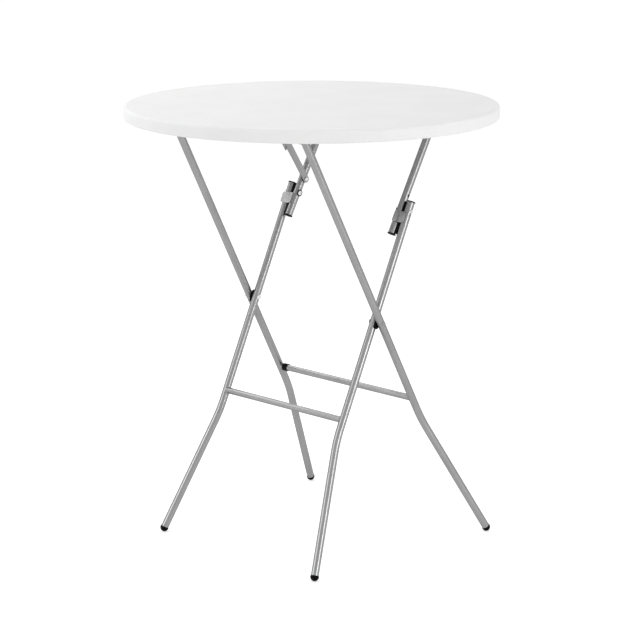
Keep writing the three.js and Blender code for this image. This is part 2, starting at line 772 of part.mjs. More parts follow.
function keeperScrewPlaces() {
  const first = keeperLeft + keeperScrewInset;
  const step = (keeperRight - keeperScrewInset - first) / (keeperScrews - 1);
  return Array.from({ length: keeperScrews }, (_, i) => new THREE.Vector2(first + step * i, keeperScrewY));
}

// Screws, from their head upwards
function screwHole(low, high, place) {
  const radius = screwRadius + seatGap;
  const hole = turnedAlongZ([[0, low], [radius, low], [radius, high], [0, high]], screwSides);
  return hole.translate(place.x, place.y, 0);
}

function screw(place, seat) {
  const top = seat + screwLength;
  const rounding = screwHeadHeight / 2;
  const piece = turnedAlongZ([
    [0, seat - screwHeadHeight], [screwHeadRadius - rounding, seat - screwHeadHeight],
    [screwHeadRadius, seat - rounding], [screwHeadRadius, seat], [screwRadius, seat],
    [screwRadius, top - screwTip], [screwRadius / 2, top], [0, top],
  ], screwSides);
  return piece.translate(place.x, place.y, 0);
}

// Pivot brackets: a base plate with two ears around a head tube
const bracketTop = undersideHeight - seatGap;
const bracketLow = bracketTop - bracketSheet;

function bracketPlaces() {
  return [['outer', outerHead], ['upper', innerHead]].flatMap(([prefix, head]) =>
    Object.entries(dirs).map(([word, side]) => ({
      name: `${prefix}_bracket_${word}`,
      centre: new THREE.Vector2(head.x, side * bracketSpread / 2),
    })));
}

function bracketScrewPlaces({ centre }) {
  return [-screwPitch / 2, screwPitch / 2].map((shift) => centre.clone().setX(centre.x + shift));
}

function bracket(place) {
  const { x, y } = place.centre;
  const plate = block(
    new THREE.Vector3(x - bracketLength / 2, y - bracketWidth / 2, bracketLow),
    new THREE.Vector3(x + bracketLength / 2, y + bracketWidth / 2, bracketTop));
  const boreRadius = headTubeRadius + runningGap;
  const middle = (bracketLow + bracketTop) / 2;
  const ears = [-earSpread / 2, earSpread / 2 - bracketSheet].map((start) => {
    const radius = boreRadius + earMargin;
    const shape = new THREE.Shape();
    shape.absarc(x, headHeight, radius, Math.PI, 2 * Math.PI, false);
    shape.lineTo(x + radius, middle);
    shape.lineTo(x - radius, middle);
    shape.closePath();
    shape.holes.push(new THREE.Path(circlePoints(boreRadius, tubeSides)
      .map((point) => point.add(new THREE.Vector2(x, headHeight)))));
    return plateAlongY(shape, [y + start, y + start + bracketSheet]);
  });
  const drills = bracketScrewPlaces(place)
    .map((centre) => screwHole(bracketLow - overrun, bracketTop + overrun, centre));
  return cut(join([plate, ...ears]), drills);
}

// Tabletop: a hollow blow-moulded disc with a deep rim, conical pockets below and screw bosses
function arcPoints(centreX, centreY, radius, from, to) {
  return Array.from({ length: roundSteps + 1 }, (_, i) => {
    const angle = from + (to - from) * i / roundSteps;
    return [centreX + radius * Math.cos(angle), centreY + radius * Math.sin(angle)];
  });
}

function discProfile(inset) {
  const radius = tabletopDiameter / 2;
  const low = tableHeight - rimDepth;
  const lip = radius - lipWidth;
  const under = undersideHeight + inset;
  const drop = undersideHeight - low;
  const slopeInset = inset * Math.hypot(lipSlope, drop) / drop;
  const innerLow = lip + slopeInset;
  const innerHigh = lip - lipSlope + slopeInset - inset * lipSlope / drop;
  return [
    [0, under], [innerHigh, under], [innerLow - inset * lipSlope / drop, low + inset],
    ...arcPoints(radius - rimRound, low + rimRound, rimRound - inset, -Math.PI / 2, 0),
    ...arcPoints(radius - topEdgeRound, tableHeight - topEdgeRound, topEdgeRound - inset, 0, Math.PI / 2),
    [0, tableHeight - inset],
  ];
}

function dimplePlaces(screws) {
  const places = [];
  for (let k = 1; k <= dimpleRings; k += 1) {
    for (let i = 0; i < dimplesPerRing * k; i += 1) {
      const angle = 2 * Math.PI * (i + 0.5) / (dimplesPerRing * k);
      places.push(new THREE.Vector2(Math.cos(angle), Math.sin(angle)).multiplyScalar(k * dimpleSpacing));
    }
  }
  const keepOff = bossRadius + dimpleMouth + panelWall + dimpleMargin;
  return places.filter((place) => screws.every((centre) => centre.distanceTo(place) > keepOff));
}

// A pocket cone below the skin, or with an inset the room that its wall takes
function dimple(place, inset) {
  const low = undersideHeight - (inset > 0 ? 0 : overrun);
  const high = tableHeight - panelWall + (inset > 0 ? overrun : -panelWall / 2);
  const slope = (dimpleMouth - dimpleTip) / panelThickness;
  const widthAt = (height) => dimpleMouth + inset - slope * (height - undersideHeight);
  const cone = [[0, low], [widthAt(low), low], [widthAt(high), high], [0, high]];
  return turnedAlongZ(cone, dimpleSides).translate(place.x, place.y, 0);
}

function boss(place) {
  const cone = [[0, undersideHeight], [bossRadius, undersideHeight], [bossRadius, tableHeight], [0, tableHeight]];
  return turnedAlongZ(cone, dimpleSides).translate(place.x, place.y, 0);
}

function tabletop(screws) {
  const dimples = dimplePlaces(screws);
  const cavity = cut(turnedAlongZ(discProfile(panelWall), panelSides), [
    ...dimples.map((place) => dimple(place, panelWall)),
    ...screws.map(boss),
  ]);
  const ventHigh = undersideHeight + panelWall + overrun;
  const vent = [[0, undersideHeight - overrun], [ventRadius, undersideHeight - overrun],
    [ventRadius, ventHigh], [0, ventHigh]];
  const pilotTop = bracketLow + screwLength + screwTip;
  return cut(turnedAlongZ(discProfile(0), panelSides), [
    cavity,
    turnedAlongZ(vent, dimpleSides),
    ...dimples.map((place) => dimple(place, 0)),
    ...screws.map((place) => screwHole(undersideHeight - overrun, pilotTop, place)),
  ]);
}

function topGroup() {
  const group = new THREE.Group();
  const brackets = bracketPlaces();
  const bracketScrews = brackets.flatMap(bracketScrewPlaces);
  const railScrews = keeperScrewPlaces();
  group.add(named('tabletop', tabletop([...bracketScrews, ...railScrews]), 'white_plastic'));
  group.add(named('keeper_rail', keeperRail(), 'grey_steel'));
  brackets.forEach((place) => {
    group.add(named(place.name, bracket(place), 'grey_steel'));
    bracketScrewPlaces(place).forEach((centre, i) => {
      group.add(named(`${place.name}_screw_${i + 1}`, screw(centre, bracketLow - seatGap), 'pale_steel'));
    });
  });
  railScrews.forEach((centre, i) => {
    group.add(named(`keeper_screw_${i + 1}`, screw(centre, flangeLow - seatGap), 'pale_steel'));
  });
  return group;
}

const table = new THREE.Group();
table.name = 'folding_cocktail_table';
table.add(topGroup(), outerFrame(), innerFrame(), upperLinks(), stayGroup());

export default table;
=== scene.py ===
# %% [markdown]
# # A tall folding cocktail table
# The real object is a round white moulded top on two crossed frames of grey tube. The outer frame
# runs from the left end of the top's underside to the right feet, the inner frame crosses it at
# the scissor pivots and is broken by a knee, and a slotted stay under the top locks it all open.
# The measured solids are loaded first. They fix where every piece sits, so each piece below is
# modelled in the same frame, in metres, and then stands in for the solid of the same name.

# %% Load the measured solids
import math
import bmesh
import bpy
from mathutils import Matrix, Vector


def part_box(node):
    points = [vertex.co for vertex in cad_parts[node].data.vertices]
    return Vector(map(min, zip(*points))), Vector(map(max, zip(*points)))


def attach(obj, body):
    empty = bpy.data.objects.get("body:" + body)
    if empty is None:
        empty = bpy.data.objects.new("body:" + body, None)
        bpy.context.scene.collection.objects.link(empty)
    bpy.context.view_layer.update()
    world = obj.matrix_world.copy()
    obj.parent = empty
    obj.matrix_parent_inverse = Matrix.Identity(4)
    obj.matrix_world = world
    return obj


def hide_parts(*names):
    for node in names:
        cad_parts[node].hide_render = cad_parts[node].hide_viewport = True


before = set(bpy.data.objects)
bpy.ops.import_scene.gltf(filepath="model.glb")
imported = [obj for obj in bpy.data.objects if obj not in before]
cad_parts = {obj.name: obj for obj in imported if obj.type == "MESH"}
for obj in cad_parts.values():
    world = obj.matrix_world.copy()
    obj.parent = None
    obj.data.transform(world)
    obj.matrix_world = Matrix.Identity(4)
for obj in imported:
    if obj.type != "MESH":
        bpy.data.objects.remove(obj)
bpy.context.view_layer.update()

# %% [markdown]
# ## The camera
# The photograph was taken from a little above, with a long lens. The camera's angle, distance and
# focal length were worked out from the ellipse of the tabletop and the four feet. The camera comes
# first, so that every later piece can be judged from the same place.

# %% Set up the camera
MM = 0.001
camera_azimuth = math.radians(-45.42)
camera_elevation = math.radians(13.066)
camera_distance = 5.62315
look_height = 0.55034
look_right = 0.01933
camera_roll = math.radians(-0.0916)
picture_width = 640
focal_pixels = 2260.46
back = Vector((
    math.sin(camera_azimuth) * math.cos(camera_elevation),
    -math.cos(camera_azimuth) * math.cos(camera_elevation),
    math.sin(camera_elevation),
))
right = Vector((math.cos(camera_azimuth), math.sin(camera_azimuth), 0))
target = Vector((0, 0, look_height)) + right * look_right
camera_data = bpy.data.cameras.new("camera")
camera_data.sensor_width = 36
camera_data.lens = camera_data.sensor_width * focal_pixels / picture_width
camera = bpy.data.objects.new("camera", camera_data)
bpy.context.collection.objects.link(camera)
camera.location = target + back * camera_distance
camera.rotation_mode = "QUATERNION"
camera.rotation_quaternion = (-back).to_track_quat("-Z", "Y")
camera.rotation_mode = "XYZ"
camera.rotation_euler.rotate_axis("Z", camera_roll)
bpy.context.scene.camera = camera
print("lens:", round(camera_data.lens, 1), "mm, camera at", tuple(round(v, 3) for v in camera.location))

# %% [markdown]
# ## Tools of the bench
# A few small helpers save repeating the same clicks: picking parts of a mesh by their place,
# applying a modifier, cutting one piece with another, and handing a finished piece over. A piece is
# finished when its object sits at the origin, its normals point out and its edges are shaded.

# %% Select and deselect
def deselect_all():
    bpy.ops.object.select_all(action="DESELECT")


def make_active(piece):
    deselect_all()
    piece.select_set(True)
    bpy.context.view_layer.objects.active = piece


def pick(kind, test):
    """In edit mode, selects the verts, edges or faces that pass a test."""
    mode = {"verts": "VERT", "edges": "EDGE", "faces": "FACE"}[kind]
    bpy.ops.mesh.select_mode(type=mode)
    bpy.ops.mesh.select_all(action="DESELECT")
    mesh = bmesh.from_edit_mesh(bpy.context.object.data)
    for part in getattr(mesh, kind):
        part.select_set(bool(test(part)))
    mesh.select_flush_mode()
    bmesh.update_edit_mesh(bpy.context.object.data)


# %% Apply places and modifiers
def settle(piece):
    """Puts the object's place, turn and scale into its mesh."""
    make_active(piece)
    bpy.ops.object.transform_apply(location=True, rotation=True, scale=True)


def put(piece, location=(0, 0, 0), turn=(0, 0, 0)):
    piece.location = location
    piece.rotation_euler = turn
    settle(piece)
    return piece


def use_modifier(piece, kind, **settings):
    make_active(piece)
    modifier = piece.modifiers.new(kind.lower(), kind)
    for key, value in settings.items():
        setattr(modifier, key, value)
    bpy.ops.object.modifier_apply(modifier=modifier.name)


def carve(piece, *cutters, operation="DIFFERENCE"):
    """Cuts a piece with others, or joins them to it, and removes those others."""
    for cutter in cutters:
        use_modifier(piece, "BOOLEAN", object=cutter, operation=operation, solver="EXACT")
        bpy.data.objects.remove(cutter)
    return piece


def soften(piece, width, segments=2, angle=40):
    use_modifier(piece, "BEVEL", width=width, segments=segments, limit_method="ANGLE",
                 angle_limit=math.radians(angle))
    return piece


# %% Hand a piece over
finished = []


def hand_over(piece, name, body, slot, *nodes, angle=35):
    """Names a piece, lets it ride on its body and stand in for its solids."""
    piece.name = piece.data.name = name
    make_active(piece)
    bpy.ops.object.mode_set(mode="EDIT")
    bpy.ops.mesh.select_all(action="SELECT")
    bpy.ops.mesh.normals_make_consistent(inside=False)
    bpy.ops.object.mode_set(mode="OBJECT")
    bpy.ops.object.shade_smooth_by_angle(angle=math.radians(angle))
    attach(piece, body)
    if nodes:
        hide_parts(*nodes)
        low = [min(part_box(n)[0][i] for n in nodes) for i in range(3)]
        high = [max(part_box(n)[1][i] for n in nodes) for i in range(3)]
        corners = [Vector(c) for c in piece.bound_box]
        off = max(max(abs(min(c[i] for c in corners) - low[i]), abs(max(c[i] for c in corners) - high[i]))
                  for i in range(3))
        print(f"{name}: {len(piece.data.polygons)} faces, box differs from its solids by {off / MM:.2f} mm")
    else:
        print(f"{name}: {len(piece.data.polygons)} faces")
    finished.append((piece, slot))
    return piece


# %% [markdown]
# ## Turned pieces and plates
# Rivets, plugs, caps and screws are round, so each starts as a disc that is pulled along Z and
# scaled at every station, as on a lathe. Straps and lugs are flat with round ends: a disc whose
# upper half is moved away gives that outline, and an extrusion gives it thickness.

# %% A turned piece
def turned_piece(stations, sides=40):
    """Pulls a disc through (radius, height) stations, in millimetres, along Z."""
    deselect_all()
    (radius, height), *rest = stations
    bpy.ops.mesh.primitive_circle_add(vertices=sides, radius=radius * MM, fill_type="NGON",
                                      location=(0, 0, height * MM))
    piece = bpy.context.object
    settle(piece)
    bpy.ops.object.mode_set(mode="EDIT")
    bpy.ops.mesh.select_all(action="SELECT")
    for next_radius, next_height in rest:
        bpy.ops.mesh.extrude_region_move(
            TRANSFORM_OT_translate={"value": (0, 0, (next_height - height) * MM)})
        grow = next_radius / radius
        bpy.ops.transform.resize(value=(grow, grow, 1), center_override=(0, 0, next_height * MM))
        radius, height = next_radius, next_height
    bpy.ops.mesh.select_all(action="SELECT")
    bpy.ops.mesh.normals_make_consistent(inside=False)
    bpy.ops.object.mode_set(mode="OBJECT")
    return piece


def raised(profile, height):
    """The (radius, step) stations of a profile, measured from a height."""
    return [(radius, height + step) for radius, step in profile]


def along_y(piece, side=1):
    """Turns a piece made along Z so that it points along +Y, or along -Y."""
    return put(piece, turn=(-side * math.pi / 2, 0, 0))


# %% A strap with round ends
def strap(width, low, high, face, thickness, sides=40):
    """A plate in X and Z whose ends are round about two heights, in millimetres."""
    deselect_all()
    bpy.ops.mesh.primitive_circle_add(vertices=sides, radius=width / 2 * MM, fill_type="NGON",
                                      rotation=(math.pi / 2, 0, 0), location=(0, face * MM, low * MM))
    piece = bpy.context.object
    settle(piece)
    bpy.ops.object.mode_set(mode="EDIT")
    pick("verts", lambda v: v.co.z > (low + 0.001) * MM)
    bpy.ops.transform.translate(value=(0, 0, (high - low) * MM))
    bpy.ops.mesh.select_all(action="SELECT")
    bpy.ops.mesh.extrude_region_move(TRANSFORM_OT_translate={"value": (0, thickness * MM, 0)})
    bpy.ops.mesh.select_all(action="SELECT")
    bpy.ops.mesh.normals_make_consistent(inside=False)
    bpy.ops.object.mode_set(mode="OBJECT")
    return piece


def slab(low, high):
    """A box between two corners, in millimetres."""
    deselect_all()
    bpy.ops.mesh.primitive_cube_add(size=1, location=[(a + b) / 2 * MM for a, b in zip(low, high)])
    piece = bpy.context.object
    piece.scale = [(b - a) * MM for a, b in zip(low, high)]
    settle(piece)
    return piece


# %% [markdown]
# ## Sizes that the pieces share
# These are the named values of the measured solids: the pivots of the linkage, the planes of the
# legs and the tube sizes. Heights are from the floor and tilts are from the vertical.

# %% Shared sizes
tube_radius = 9.5
stretcher_radius = 7.75
head_tube_radius = 6.35
outer_plane = 229.5
inner_plane = 205.5
upper_plane = 179.0
arm_face = upper_plane - tube_radius
leg_face = inner_plane + tube_radius
outer_tilt = math.radians(-28.2)
inner_tilt = math.radians(25.36865356)
upper_tilt = math.radians(29.558561)
stay_tilt = math.radians(-33)
scissor = (4.68215922, 0, 578.2)
knee = (126.24640745, 0, 834.5756124)
head_x = 246.15
head_height = 1046
inner_head = (head_x, 0, head_height)
stay_rivet = (145.33761582, 0, 868.23888264)
outer_upper = 530.80468357
lower_link = 283.73635841
upper_link = 243.05790088
inner_stub = 22.5
upper_stub = 62.0
stay_reach = upper_link - 38.7
released_length = 211.95583124
locked_length = released_length + 5
released_x = 29.89819643
folded_x = inner_head[0] - stay_reach - locked_length
fit_gap = 0.3
tube_clear = tube_radius + fit_gap
rivet_radius = 3.0
rivet_hole = 3.3
left_right = (("left", 1), ("right", -1))
stance = {
    "outer_frame": (scissor, outer_tilt),
    "inner_frame": (scissor, inner_tilt),
    "upper_links": (inner_head, upper_tilt),
    "lock_stay": (stay_rivet, stay_tilt),
    "lock_pin": (stay_rivet, stay_tilt),
}


def stand(piece, body):
    """Moves a piece from its body's own upright frame to its place on the table."""
    pivot, tilt = stance[body]
    return put(piece, location=[v * MM for v in pivot], turn=(0, tilt, 0))


print("legs meet the scissor pivots at", scissor[2], "mm and the knees are at", round(knee[2], 1), "mm")

# %% [markdown]
# ## The tabletop
# The real top is blow moulded in one piece: a flat face, a well rounded edge, a deep rim and a
# ribbed underside with rows of small conical pockets, where the two skins touch to stiffen it.
# It could be a revolved profile. Here a disc is inset and pulled in, as the underside is stepped,
# and its edges are bevelled, because the bevel gives the soft moulded corners directly. At the end
# the Weighted Normal modifier keeps the wide flat faces flat in the light, down to their last edge.

# %% Shape the moulded disc
top_radius = 457.0
top_height = 1092.0
rim_depth = 31.5
underside = 1075.0
lip_width = 15.0
lip_slope = 6.0
deselect_all()
bpy.ops.mesh.primitive_cylinder_add(vertices=192, radius=top_radius * MM, depth=rim_depth * MM,
                                    location=(0, 0, (top_height - rim_depth / 2) * MM))
top = bpy.context.object
settle(top)
bpy.ops.object.mode_set(mode="EDIT")
rim_bottom = top_height - rim_depth
pick("faces", lambda f: f.normal.z < -0.9)
bpy.ops.mesh.inset(thickness=lip_width * MM)
bpy.ops.mesh.extrude_region_move(TRANSFORM_OT_translate={"value": (0, 0, (underside - rim_bottom) * MM)})
shrink = (top_radius - lip_width - lip_slope) / (top_radius - lip_width)
bpy.ops.transform.resize(value=(shrink, shrink, 1), center_override=(0, 0, underside * MM))


def ring_edge(edge, radius, height):
    """Tells whether both ends of an edge lie on the circle of this radius and height."""
    return all(abs(v.co.z - height * MM) < 1e-5 and abs(v.co.xy.length - radius * MM) < 2e-4
               for v in edge.verts)


for radius, height, width, segments in (
        (top_radius, top_height, 8.0, 10),
        (top_radius, rim_bottom, 4.0, 6),
        (top_radius - lip_width, rim_bottom, 3.5, 5),
        (top_radius - lip_width - lip_slope, underside, 4.0, 5)):
    pick("edges", lambda e: ring_edge(e, radius, height))
    bpy.ops.mesh.bevel(offset=width * MM, segments=segments, profile=0.5, affect="EDGES", clamp_overlap=False)
bpy.ops.object.mode_set(mode="OBJECT")
print("tabletop disc:", len(top.data.polygons), "faces,", top_radius * 2, "mm across")

# %% Press the pockets into the underside
pocket_rings = 3
pocket_spacing = 104.0
pocket_profile = [(12.4, -2), (12.4, -0.02), (11.2, 0.35), (10.2, 1.2), (9.2, 3), (6.2, 11), (5.4, 12.4),
                  (4, 13.2), (0.4, 13.4)]
boss_room = 26.4
bracket_y = 110
screw_shifts = (-23, 23)
rail_face = 159.5
rail_back = 161.5
slot_width = 8.4
notch_width = 5.4
slot_margin = 8
rail_screw_inset = 24
rail_left = folded_x - slot_width / 2 - slot_margin
rail_right = released_x + slot_width / 2 + slot_margin
rail_screw_y = rail_face - 11
rail_screw_span = rail_right - rail_left - 2 * rail_screw_inset
rail_screw_x = [rail_left + rail_screw_inset + rail_screw_span * i / 2 for i in range(3)]
screws_at = [(x + shift, side * bracket_y)
             for x in (-head_x, head_x) for shift in screw_shifts for side in (1, -1)]
screws_at += [(x, rail_screw_y) for x in rail_screw_x]
pockets = []
for ring in range(1, pocket_rings + 1):
    for i in range(6 * ring):
        angle = 2 * math.pi * (i + 0.5) / (6 * ring)
        place = (ring * pocket_spacing * math.cos(angle), ring * pocket_spacing * math.sin(angle))
        if all(math.dist(place, screw) > boss_room for screw in screws_at):
            pockets.append(place)
pocket = turned_piece(raised(pocket_profile, underside), sides=28)
cutters = []
for x, y in pockets:
    make_active(pocket)
    bpy.ops.object.duplicate()
    cutters.append(put(bpy.context.object, location=(x * MM, y * MM, 0)))
bpy.data.objects.remove(pocket)
make_active(cutters[0])
for cutter in cutters:
    cutter.select_set(True)
bpy.ops.object.join()
carve(top, bpy.context.object)
vent = turned_piece(raised([(4, -2), (4, 4)], underside), sides=24)
carve(top, vent)
hand_over(top, "tabletop_shell", "tabletop", "white_plastic", "tabletop", angle=30)
use_modifier(top, "WEIGHTED_NORMAL", keep_sharp=True, weight=100)
print("pockets pressed:", len(pockets))

# %% [markdown]
# ## The legs
# A leg is one straight steel tube with a single gentle bend near the stretcher, so that the feet
# stand wider than the frame. A ring of edges is pulled along the straight part, spun round the
# centre of the bend and pulled on to the foot. That is what a tube bender does.

# %% Bend a tube
outer_splay = math.radians(0.76)
outer_flare = math.radians(12.43)
inner_flare = math.radians(10.93)
outer_bend_height = 313
inner_bend_height = 305
bend_radius = 300.0
plug_radius = 10.5
plug_lift = 2.8


def ring_of_edges(radius, location, turn, sides=40):
    deselect_all()
    bpy.ops.mesh.primitive_circle_add(vertices=sides, radius=radius * MM, fill_type="NOTHING",
                                      rotation=turn, location=[v * MM for v in location])
    settle(bpy.context.object)
    return bpy.context.object


def pull(vector):
    bpy.ops.mesh.extrude_region_move(TRANSFORM_OT_translate={"value": [v * MM for v in vector]})


def close_tube(piece):
    """Closes both ends of a tube and turns its faces outwards."""
    bpy.ops.mesh.select_all(action="SELECT")
    bpy.ops.mesh.fill_holes(sides=0)
    bpy.ops.mesh.normals_make_consistent(inside=False)
    bpy.ops.object.mode_set(mode="OBJECT")
    return piece


def leg(side, plane, splay, flare, top_level, bend_height, tilt):
    """A bent leg in its frame's own upright plane, with the scissor pivot at the origin."""
    slope = math.cos(tilt)
    bend = -(scissor[2] - bend_height) / slope
    foot = -(scissor[2] - plug_radius) / slope + plug_lift * math.cos(splay + flare)
    reach = bend_radius * math.tan(flare / 2)
    arc_top = bend + reach * math.cos(splay)
    y_at = lambda level: plane - level * math.tan(splay)
    centre = (y_at(arc_top) + bend_radius * math.cos(splay), arc_top + bend_radius * math.sin(splay))
    arc_end = (centre[0] - bend_radius * math.cos(splay + flare),
               centre[1] - bend_radius * math.sin(splay + flare))
    piece = ring_of_edges(tube_radius, (0, side * y_at(top_level), top_level), (side * splay, 0, 0))
    bpy.ops.object.mode_set(mode="EDIT")
    bpy.ops.mesh.select_all(action="SELECT")
    pull((0, side * (y_at(arc_top) - y_at(top_level)), arc_top - top_level))
    bpy.ops.mesh.spin(steps=14, angle=-flare, center=(0, side * centre[0] * MM, centre[1] * MM),
                      axis=(side, 0, 0))
    run = arc_end[1] - foot
    pull((0, side * run * math.tan(splay + flare), -run))
    return close_tube(piece)


for word, side in left_right:
    outer_leg = leg(side, outer_plane, outer_splay, outer_flare, outer_upper + tube_radius, outer_bend_height,
                    outer_tilt)
    stand(outer_leg, "outer_frame")
    hand_over(outer_leg, f"outer_leg_{word}_tube", "outer_frame", "grey_steel", f"outer_leg_{word}")
    inner_leg = leg(side, inner_plane, 0, inner_flare, lower_link + inner_stub, inner_bend_height, inner_tilt)
    stand(inner_leg, "inner_frame")
    hand_over(inner_leg, f"inner_leg_{word}_tube", "inner_frame", "grey_steel", f"inner_leg_{word}")

# %% [markdown]
# ## Stretchers and head tubes
# Straight tubes tie each pair of legs together: a thinner stretcher low down, and a head tube at
# the top that turns in the brackets. Their ends are welded to the legs, so each joint gets a
# rippled bead that follows the saddle where the two tubes meet.

# %% A straight cross tube
def level_of(height, tilt):
    return -(scissor[2] - height) / math.cos(tilt)


outer_bar_level = level_of(370.8, outer_tilt)
inner_bar_level = level_of(352.2, inner_tilt)
weld_gap = 3
outer_half_at = lambda level: outer_plane - level * math.tan(outer_splay)


def cross_tube(radius, half, level, sides=40):
    piece = ring_of_edges(radius, (0, -half, level), (math.pi / 2, 0, 0), sides)
    bpy.ops.object.mode_set(mode="EDIT")
    bpy.ops.mesh.select_all(action="SELECT")
    pull((0, 2 * half, 0))
    return close_tube(piece)


# %% A weld bead
def weld_bead(radius, side, plane, level, ripples=26):
    """A ring of weld where a cross tube of this radius meets a leg, in the frame's own plane."""
    deselect_all()
    bpy.ops.mesh.primitive_torus_add(major_radius=(radius + 0.2) * MM, minor_radius=1.1 * MM,
                                     major_segments=104, minor_segments=10, rotation=(math.pi / 2, 0, 0))
    bead = bpy.context.object
    settle(bead)
    for vertex in bead.data.vertices:
        x, z = vertex.co.x / MM, vertex.co.z / MM
        angle = math.atan2(z, x)
        saddle = math.sqrt(max(tube_radius ** 2 - min(abs(x), tube_radius * 0.97) ** 2, 0))
        ripple = 1 + 0.018 * math.sin(ripples * angle) + 0.012 * math.sin(5 * angle + side)
        vertex.co.x *= ripple
        vertex.co.z *= ripple
        vertex.co.y += side * (plane - saddle - 0.1) * MM
    return put(bead, location=(0, 0, level * MM))


# %% Make the bars and weld them
bars = (
    ("outer_stretcher", stretcher_radius, outer_half_at(outer_bar_level), outer_bar_level, "outer_frame"),
    ("inner_stretcher", stretcher_radius, inner_plane, inner_bar_level, "inner_frame"),
    ("outer_head_tube", head_tube_radius, outer_half_at(outer_upper), outer_upper, "outer_frame"),
    ("upper_head_tube", head_tube_radius, upper_plane, 0, "upper_links"),
)
for node, radius, half, level, body in bars:
    bar = cross_tube(radius, half - weld_gap, level)
    stand(bar, body)
    hand_over(bar, f"{node}_bar", body, "grey_steel", node)
    for word, side in left_right:
        bead = weld_bead(radius, side, half, level)
        stand(bead, body)
        hand_over(bead, f"{node}_weld_{word}", body, "grey_steel", angle=60)

# %% The sleeve and the swaged mark on the outer stretcher
sleeve_middle = inner_plane + 5.3
sleeve_profile = [(8.0, -8), (9.2, -8), (9.75, -7.3), (9.75, 7.3), (9.2, 8), (8.0, 8)]
sleeve = along_y(turned_piece(raised(sleeve_profile, sleeve_middle)))
put(sleeve, location=(0, 0, outer_bar_level * MM))
stand(sleeve, "outer_frame")
hand_over(sleeve, "stretcher_sleeve", "outer_frame", "black_rubber", "stretcher_bumper")
swage_middle = -164
swage_profile = [(7.6, -1.6), (8.0, -1.0), (8.05, 0), (8.0, 1.0), (7.6, 1.6)]
swage = along_y(turned_piece(raised(swage_profile, swage_middle)))
put(swage, location=(0, 0, outer_bar_level * MM))
stand(swage, "outer_frame")
hand_over(swage, "stretcher_swage", "outer_frame", "grey_steel", angle=60)

# %% [markdown]
# ## Feet and end caps
# Every leg stands on a black plug with a domed sole, so that the slanted tube still meets the
# floor on a round surface. The open ends at the knees wear flat caps. Both are lathe work.

# %% Foot plugs
def foot_place(plane, splay, flare, bend_height, tilt):
    """Where the dome of a foot is centred: its distance from the middle, and its level."""
    dome_level = level_of(plug_radius, tilt)
    bend = level_of(bend_height, tilt)
    reach = bend_radius * math.tan(flare / 2)
    arc_top = bend + reach * math.cos(splay)
    centre_y = plane - arc_top * math.tan(splay) + bend_radius * math.cos(splay)
    centre_z = arc_top + bend_radius * math.sin(splay)
    end_y = centre_y - bend_radius * math.cos(splay + flare)
    end_z = centre_z - bend_radius * math.sin(splay + flare)
    return end_y + (end_z - dome_level) * math.tan(splay + flare), dome_level


dome_stations = [(max(plug_radius * math.cos(a), 0.3), plug_radius * math.sin(a))
                 for a in (-math.pi / 2 + math.pi / 2 * i / 9 for i in range(10))]
plug_stations = dome_stations + [(10.5, 1.9), (10.1, 2.5), (8.0, 2.5), (8.0, 19), (7.4, 20)]
foot_sets = (
    ("outer", outer_plane, outer_splay, outer_flare, outer_bend_height, outer_tilt),
    ("inner", inner_plane, 0, inner_flare, inner_bend_height, inner_tilt),
)
for prefix, plane, splay, flare, bend_height, tilt in foot_sets:
    body = f"{prefix}_frame"
    y, level = foot_place(plane, splay, flare, bend_height, tilt)
    for word, side in left_right:
        plug = turned_piece(plug_stations)
        put(plug, location=(0, side * y * MM, level * MM), turn=(side * (splay + flare), 0, 0))
        stand(plug, body)
        hand_over(plug, f"{prefix}_plug_{word}", body, "black_plastic", f"{prefix}_foot_{word}")

# %% Caps at the knees
cap_stations = [(7.4, -12), (8.0, -11), (8.0, 0), (10.6, 0), (10.9, 0.4), (10.9, 1.5), (10.4, 2.2),
                (9.4, 2.5), (0.4, 2.5)]
inner_cap_level = lower_link + inner_stub + fit_gap
upper_cap_level = -(upper_link + upper_stub + fit_gap)
for word, side in left_right:
    cap = turned_piece(cap_stations)
    put(cap, location=(0, side * inner_plane * MM, inner_cap_level * MM))
    stand(cap, "inner_frame")
    hand_over(cap, f"inner_end_cap_{word}", "inner_frame", "black_plastic", f"inner_cap_{word}")
    cap = turned_piece(cap_stations)
    put(cap, location=(0, side * upper_plane * MM, upper_cap_level * MM), turn=(math.pi, 0, 0))
    stand(cap, "upper_links")
    hand_over(cap, f"upper_end_cap_{word}", "upper_links", "black_plastic", f"upper_cap_{word}")

# %% [markdown]
# ## The upper arms
# Two short straight tubes join the knees to the second head tube. Both are drilled for the stay
# rivet, because the maker drills left and right alike, so the right arm shows an empty hole.

# %% Straight arms with their holes
for word, side in left_right:
    arm = ring_of_edges(tube_radius, (0, side * upper_plane, tube_radius), (0, 0, 0))
    bpy.ops.object.mode_set(mode="EDIT")
    bpy.ops.mesh.select_all(action="SELECT")
    pull((0, 0, -(upper_link + upper_stub + tube_radius)))
    close_tube(arm)
    for level in (-stay_reach, -upper_link):
        drill = along_y(turned_piece([(rivet_hole, -12), (rivet_hole, 12)], sides=28))
        put(drill, location=(0, side * upper_plane * MM, level * MM))
        carve(arm, drill)
    stand(arm, "upper_links")
    hand_over(arm, f"upper_arm_{word}_tube", "upper_links", "grey_steel", f"upper_arm_{word}")

# %% [markdown]
# ## Pivots
# The frames turn on riveted pins. A black spacer keeps the crossing legs apart, and at each knee
# a long plastic strip does the same. The rivet heads are low domes, turned like the caps.

